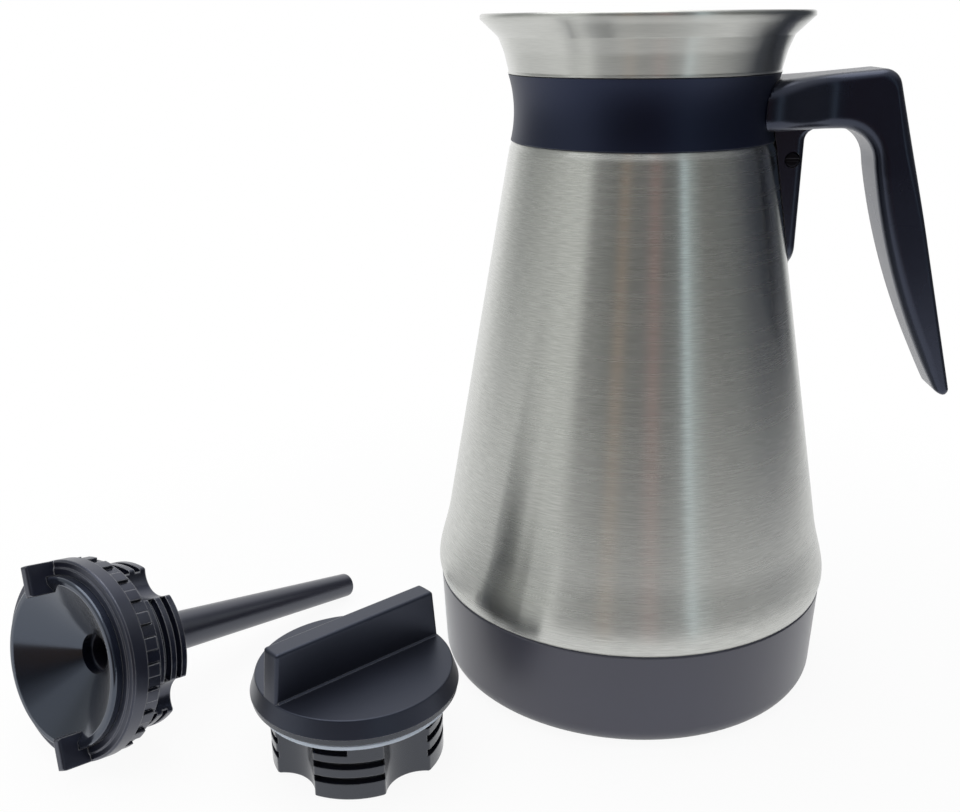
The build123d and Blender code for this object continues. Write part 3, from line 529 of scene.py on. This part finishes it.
def plastic(name, colour, roughness, depth=0.00002, shine=1.0, edge=0.0004, edge_highlight=0.05, ior=1.5, tint=white,
            dust=0, metal=0):
    """Moulded plastic: fine grain in the surface, a slight change of tone and gloss over it, and softened
    edges with a painted highlight, a paler colour mixed in along them. Its share grows with the angle
    between the softened normal and the surface's own one, as their dot product falls, so it is a thin line
    along each edge."""
    material, tree, shader = new_finish(name, Specular_IOR_Level=shine, Specular_Tint=tint, IOR=ior,
                                        Sheen_Weight=dust, Sheen_Roughness=dust_roughness, Metallic=metal)
    place = tree.nodes.new("ShaderNodeTexCoord")
    grain = node_of(tree, "ShaderNodeTexNoise", Scale=1 / grain_size, Detail=2)
    patches = node_of(tree, "ShaderNodeTexNoise", Scale=patches_per_metre, Detail=3)
    for noise in (grain, patches):
        tree.links.new(place.outputs["Object"], noise.inputs["Vector"])
    skin = toned(tree, colour, 0.9, 1.1, patches.outputs["Fac"])
    rough = ranged(tree, patches.outputs["Fac"], 0, 1, roughness - 0.04, roughness + 0.04)
    tree.links.new(rough, shader.inputs["Roughness"])
    bump = node_of(tree, "ShaderNodeBump", Strength=grain_strength, Distance=depth)
    tree.links.new(grain.outputs["Fac"], bump.inputs["Height"])
    if edge:
        softened = node_of(tree, "ShaderNodeBevel", samples=6, Radius=edge)
        tree.links.new(softened.outputs[0], bump.inputs["Normal"])
        surface = tree.nodes.new("ShaderNodeNewGeometry")
        agree = node_of(tree, "ShaderNodeVectorMath", operation="DOT_PRODUCT")
        tree.links.new(softened.outputs[0], agree.inputs[0])
        tree.links.new(surface.outputs["Normal"], agree.inputs[1])
        # Painted highlight: a paler colour is mixed in along each softened edge, in place of the light that
        # a rounded edge catches.
        highlight_share = ranged(tree, agree.outputs["Value"], highlight_from, highlight_full)
        skin = towards(tree, skin, tuple(c + edge_highlight for c in colour) + (1,), highlight_share)
    tree.links.new(skin, shader.inputs["Base Color"])
    tree.links.new(bump.outputs[0], shader.inputs["Normal"])
    return material


def satin_metal(name, colour, roughness):
    """Bare metal with the same fine grain, soft edges and painted edge highlight as the plastic."""
    return plastic(name, colour, roughness, shine=0.5, metal=1)


def finish_node(name, material):
    """Gives a carried-over node its material."""
    nodes[name].data.materials.clear()
    nodes[name].data.materials.append(material)


liner_steel = satin_metal("liner_steel", liner_grey, 0.4)
finish_node("collar_band", plastic("band_plastic", (0.001, 0.002, 0.012), 0.42, shine=0.8, edge_highlight=0.1,
                                   tint=(0.5, 0.6, 1, 1)))
finish_node("clamp_strap", liner_steel)

# Handle. The arm, its open-ended grip and the heel are one moulding of black plastic. The root widens and
# follows the band, and the heel lies down the cone. A blackened cross screw goes through the heel into a
# nut on its far side, and both sit in pockets.
arm_root = 34.0
arm_top = ((41.3, 196.8), (74.7, 199.7))
arm_underside = 182.0
arm_half = 10.8
arm_round = 3.2
root_half = 20.2
root_flare = 60.0
root_round = 6.5
band_sag = 1.35
band_gap = 0.05
bend_start = 57.0
bend_end = 170.0
top_bend = 5.5
under_bend = 11
grip_top = 172.0
grip_high = 168.0
grip_tip = 97.2
grip_reach = 70.1
grip_inner_lean = 0.176
grip_outer_lean = 0.2655
grip_bow = 14.5
grip_round = 1.6
inner_round = 3.8
round_change = (150, 180)
tip_half = 7.8
tip_round = 2.2
tip_narrowing = 0.6
arm_rows = 30
bend_rows = 44
grip_rows = 60
tip_rows = 8
heel_inside = 30.0
heel_reach = 48.8
heel_half = (6.2, 9.0)
heel_round = 2.2
heel_fillet = 3.5
heel_tip = 139.8
heel_tip_rise = 6
heel_tip_inset = 3.4
heel_rows = 60
heel_tip_rows = 12
cone_gap = 0.3
screw_bore = 1.4
head_pocket = 2.4
nut_pocket = 2.6
pocket_floor = 5.9
through = 30
sharp_edge = radians(40)


def grip_inner(height):
    """Inner side of the grip: a lean plus a bow that grows with the square of the drop."""
    drop = grip_top - height
    return grip_reach + grip_inner_lean * drop + grip_bow * (drop / (grip_top - grip_tip)) ** 2


def grip_outer(height):
    """Outer side of the grip, a straight lean down from the arm's corner."""
    return arm_top[1][0] + grip_outer_lean * (arm_top[1][1] - height)


def resampled(points, count):
    """The same run with a number of points at equal steps along its length."""
    length = np.concatenate(([0], np.cumsum(np.hypot(*np.diff(points, axis=0).T))))
    at = np.linspace(0, length[-1], count)
    return np.stack([np.interp(at, length, points[:, i]) for i in (0, 1)], 1)


def handle_rails():
    """Side view of the arm and grip as two rails of (x, z) points, the inner and the outer one: straight
    runs along the arm, a rounded bend, the grip's two sides, and a quarter circle each at its tip. With
    them comes how much each half width is less than its own, at the tip."""
    (x0, z0), corner = arm_top
    lean = (corner[1] - z0) / (corner[0] - x0)
    top = rounded([(bend_start, z0 + lean * (bend_start - x0)), (*corner, top_bend),
                   (grip_outer(grip_high), grip_high)], steps=16)
    heights = np.linspace(bend_end, grip_high, 3)
    under = rounded([(bend_start, arm_underside), (grip_inner(arm_underside), arm_underside, under_bend)]
                    + [(grip_inner(height), height) for height in heights], steps=16)
    reach = np.linspace(arm_root, bend_start, arm_rows)
    arm_in = np.stack((reach, np.full(arm_rows, arm_underside)), 1)
    arm_out = np.stack((reach, z0 + lean * (reach - x0)), 1)
    height = np.linspace(grip_high, grip_tip + tip_round, grip_rows)
    bend = np.linspace(0, pi / 2, tip_rows + 1)[1:]
    end = grip_tip + tip_round * (1 - np.sin(bend))
    tuck_in = tip_round * (1 - np.cos(bend))
    grip_in = np.stack((grip_inner(height), height), 1)
    grip_out = np.stack((grip_outer(height), height), 1)
    end_in = np.stack((grip_inner(end) + tuck_in, end), 1)
    end_out = np.stack((grip_outer(end) - tuck_in, end), 1)
    inner = np.vstack((arm_in, resampled(under, bend_rows)[1:-1], grip_in, end_in))
    outer = np.vstack((arm_out, resampled(top, bend_rows)[1:-1], grip_out, end_out))
    narrowing = np.concatenate((np.zeros(len(inner) - tip_rows), tuck_in * tip_narrowing))
    return inner, outer, narrowing


def rounded_loop(half, low, high, low_round, high_round, steps=6):
    """Closed loops of (across, along) points: rectangles with two rounded low and two rounded high corners.
    Every argument is an array with one value for each loop. Each corner is a quarter circle, with a point
    close outside each of its ends."""
    parts = []
    for quarter, (side, is_high) in enumerate(((1, False), (1, True), (-1, True), (-1, False))):
        radius = high_round if is_high else low_round
        middle_x = side * (half - radius)
        middle_y = high - radius if is_high else low + radius
        angle = np.linspace(0, pi / 2, steps + 1) + (quarter - 1) * pi / 2
        x = middle_x[:, None] + radius[:, None] * np.cos(angle)
        y = middle_y[:, None] + radius[:, None] * np.sin(angle)
        guard = radius * 0.05
        first = (x[:, 0] + guard * np.sin(angle[0]), y[:, 0] - guard * np.cos(angle[0]))
        last = (x[:, -1] - guard * np.sin(angle[-1]), y[:, -1] + guard * np.cos(angle[-1]))
        parts += [np.stack(first, 1)[:, None], np.stack((x, y), 2), np.stack(last, 1)[:, None]]
    return np.concatenate(parts, 1)


def capped(points):
    """The grid with a middle point at each end, repeated along a row, which merging turns into a fan."""
    ends = [np.repeat(row.mean(0)[None, None], points.shape[1], 1) for row in (points[0], points[-1])]
    return np.concatenate((ends[0], points, ends[1]), 0)


def merged(piece):
    """Merges doubled points and points the faces outwards."""
    mesh = bmesh.new()
    mesh.from_mesh(piece.data)
    bmesh.ops.remove_doubles(mesh, verts=mesh.verts, dist=1e-7)
    bmesh.ops.recalc_face_normals(mesh, faces=mesh.faces)
    mesh.to_mesh(piece.data)
    mesh.free()
    piece.data.shade_smooth()
    return piece


def clear_of(points, radius):
    """Pushes points out along X to a radius round the carafe's axis where they lie inside it."""
    surface = np.sqrt(np.maximum(radius ** 2 - points[..., 1] ** 2, 0))
    points[..., 0] = np.maximum(points[..., 0], surface)
    return points


def arm_and_grip():
    """Rounded sections set square to the middle of the two rails. Their half width grows towards the root
    as 6t^5 - 15t^4 + 10t^3, shrinks evenly down the grip, and keeps clear of the band, whose waist sags as
    a parabola between its edges."""
    inner, outer, narrowing = handle_rails()
    height = inner[:, 1]
    depth = np.hypot(*(outer - inner).T)
    axis = (outer - inner) / depth[:, None]
    t = np.clip((root_flare - inner[:, 0]) / (root_flare - arm_root), 0, 1)
    flare = np.where(height > grip_high, t ** 3 * (t * (6 * t - 15) + 10), 0)
    down = np.clip((grip_high - height) / (grip_high - grip_tip), 0, 1)
    half = arm_half + (root_half - arm_half) * flare - (arm_half - tip_half) * down - narrowing
    on_arm = np.clip((height - round_change[0]) / (round_change[1] - round_change[0]), 0, 1)
    high_round = grip_round + (arm_round - grip_round) * on_arm * on_arm * (3 - 2 * on_arm)
    high_round = np.minimum(high_round + (root_round - arm_round) * flare, depth * 0.45)
    low_round = np.minimum(inner_round, depth * 0.5 - 0.05)
    loop = rounded_loop(half, np.zeros_like(depth), depth, low_round, high_round)
    points = np.stack((inner[:, None, 0] + axis[:, None, 0] * loop[..., 1], loop[..., 0],
                       inner[:, None, 1] + axis[:, None, 1] * loop[..., 1]), 2)
    share = np.clip((points[..., 2] - band_foot[1]) / (band_top[1] - band_foot[1]), 0, 1)
    sag = band_sag * 4 * share * (1 - share)
    radius = band_foot[0] + (band_top[0] - band_foot[0]) * share - sag + band_gap
    return capped(clear_of(points, radius))


def heel():
    """Tapering sections stacked down the cone, from inside the arm to a tip that rounds off as a quarter
    circle. A fillet turns the outer side into the arm's underside."""
    body = np.linspace(arm_underside + 1, heel_tip + heel_tip_rise, heel_rows)
    tip = heel_tip + heel_tip_rise * np.linspace(1, 0, heel_tip_rows)[1:]
    height = np.concatenate((body, tip))
    share = (height - heel_tip) / (arm_underside - heel_tip)
    drop = np.clip(1 - (height - heel_tip) / heel_tip_rise, 0, 1)
    inset = heel_tip_inset * (1 - np.sqrt(np.maximum(1 - drop ** 2, 0)))
    climb = np.clip(height - arm_underside + heel_fillet, 0, heel_fillet)
    fillet = heel_fillet - np.sqrt(np.maximum(heel_fillet ** 2 - climb ** 2, 0))
    half = heel_half[0] + (heel_half[1] - heel_half[0]) * share - inset
    outer = heel_reach - inset * 0.6 + fillet
    rounding = np.minimum(heel_round, half * 0.8)
    loop = rounded_loop(half, np.full_like(outer, heel_inside), outer, rounding, rounding)
    points = np.stack((loop[..., 1], loop[..., 0], np.repeat(height[:, None], loop.shape[1], 1)), 2)
    radius = cone_top[0] + cone_slope * (cone_top[1] - points[..., 2]) + cone_gap
    return capped(clear_of(points, radius))


def bored(piece, radius, low, high, sides=48):
    """Cuts a round or many-sided hole along Y, on the clamp screw's line, between two values of Y."""
    screw = nodes["clamp_screw"]
    corners = np.array([screw.matrix_world @ Vector(corner) for corner in screw.bound_box])
    middle = (corners.min(0) + corners.max(0)) / 2
    mesh = bmesh.new()
    bmesh.ops.create_cone(mesh, cap_ends=True, segments=sides, radius1=radius * mm, radius2=radius * mm,
                          depth=(high - low) * mm)
    centre = Matrix.Translation((middle[0], (low + high) / 2 * mm, middle[2]))
    bmesh.ops.transform(mesh, matrix=centre @ Matrix.Rotation(pi / 2, 4, "X"), verts=mesh.verts)
    data = bpy.data.meshes.new("cutter")
    mesh.to_mesh(data)
    mesh.free()
    cutter = bpy.data.objects.new("cutter", data)
    bpy.context.scene.collection.objects.link(cutter)
    cut = piece.modifiers.new("cut", "BOOLEAN")
    cut.operation = "DIFFERENCE"
    cut.object = cutter
    with bpy.context.temp_override(object=piece, active_object=piece):
        bpy.ops.object.modifier_apply(modifier="cut")
    bpy.data.objects.remove(cutter)
    piece.data.shade_smooth()
    piece.data.set_sharp_from_angle(angle=sharp_edge)


def make_handle():
    """Arm with grip, and the heel with its bore and the pockets that hold the screw's head and the nut."""
    arm = merged(grid_piece("grip_handle", arm_and_grip(), wrap_rows=False))
    foot = merged(grid_piece("heel", heel(), wrap_rows=False))
    bored(foot, screw_bore, -through, through)
    bored(foot, head_pocket, -through, -pocket_floor)
    bored(foot, nut_pocket / cos(pi / 6), pocket_floor, through, sides=6)
    with bpy.context.temp_override(active_object=arm, selected_editable_objects=[arm, foot]):
        bpy.ops.object.join()
    return arm


handle_plastic = plastic("handle_plastic", (0.0015, 0.002, 0.011), 0.27, shine=0.9, edge=0,
                         tint=(0.66, 0.74, 1, 1), dust=0.4)
dress(make_handle(), handle_plastic, "carafe", "handle")
screw_steel = satin_metal("screw_steel", (0.02, 0.02, 0.026), 0.35)
for name in ("clamp_screw", "clamp_nut"):
    finish_node(name, screw_steel)

# Base cup. A cup of grey-black plastic with a dry, matt skin is pushed over the steel's skirt, up to the
# seam under the widest place. The carafe stands on a ring of soft rubber in a groove under it.
finish_node("base_cup", plastic("cup_plastic", (0.0295, 0.03, 0.051), 0.42, edge_highlight=0.25,
                                tint=(0.9, 0.91, 1, 1), dust=0.8))
finish_node("foot_ring", plastic("foot_rubber", (0.02, 0.02, 0.02), 0.8, shine=0.5))

# Flask. The inner wall, the neck with the lugs that the lids turn on to, and the dished floor are satin
# steel, drawn and welded. Under the floor are the getter, the disc that closes the vacuum and the solder
# plug of its pumping hole.
for name in ("inner_liner", "flask_neck", "liner_bottom", "getter", "shell_bottom", "vacuum_seal"):
    finish_node(name, liner_steel)

# Twist lid. A satin black cap with a grip blade is fixed on a glossy lobed plug, which is moulded with
# locking grooves and filled with foam. A milky silicone ring seals under the plug's flange.
finish_node("twist_cap", plastic("cap_plastic", (0.003, 0.004, 0.01), 0.4, shine=0.85, edge_highlight=0.3,
                                 tint=(0.68, 0.76, 1, 1), dust=0.35))
finish_node("twist_plug", plastic("plug_plastic", (0.003, 0.0035, 0.01), 0.17, edge_highlight=0.12,
                                  tint=(0.85, 0.9, 1, 1), dust=0.3))
finish_node("twist_gasket", plastic("seal_silicone", (0.72, 0.8, 0.92), 0.4, shine=0.5))
finish_node("twist_foam", plastic("foam", (0.6, 0.58, 0.5), 0.9, shine=0.3))

# Brew lid. A turning ring with two grip lugs and a toothed skirt snaps over a lobed plug with a toothed
# crown. The glossy funnel sits in them, and the long tapering tube is pushed into the plug's socket. All
# four are mouldings of black plastic. Along the many edges of the ring, the plug and the tube a paler line
# is painted as a highlight.
ring_edge = 0.0006
ring_tint = (0.75, 0.8, 1, 1)
finish_node("brew_ring", plastic("ring_plastic", (0.009, 0.010, 0.019), 0.32, edge=ring_edge, edge_highlight=0.4,
                                 tint=ring_tint, dust=0.06))
finish_node("brew_plug", plastic("crown_plastic", (0.007, 0.008, 0.017), 0.26, edge=ring_edge, edge_highlight=0.35,
                                 tint=ring_tint))
finish_node("funnel_bowl", plastic("bowl_plastic", (0.006, 0.008, 0.017), 0.15, depth=0, edge=0, ior=1.6,
                                   tint=(0.72, 0.82, 1, 1), dust=0.2))
finish_node("mixing_tube", plastic("tube_plastic", (0.007, 0.007, 0.016), 0.3, tint=(0.8, 0.85, 1, 1),
                                   dust=0.5))
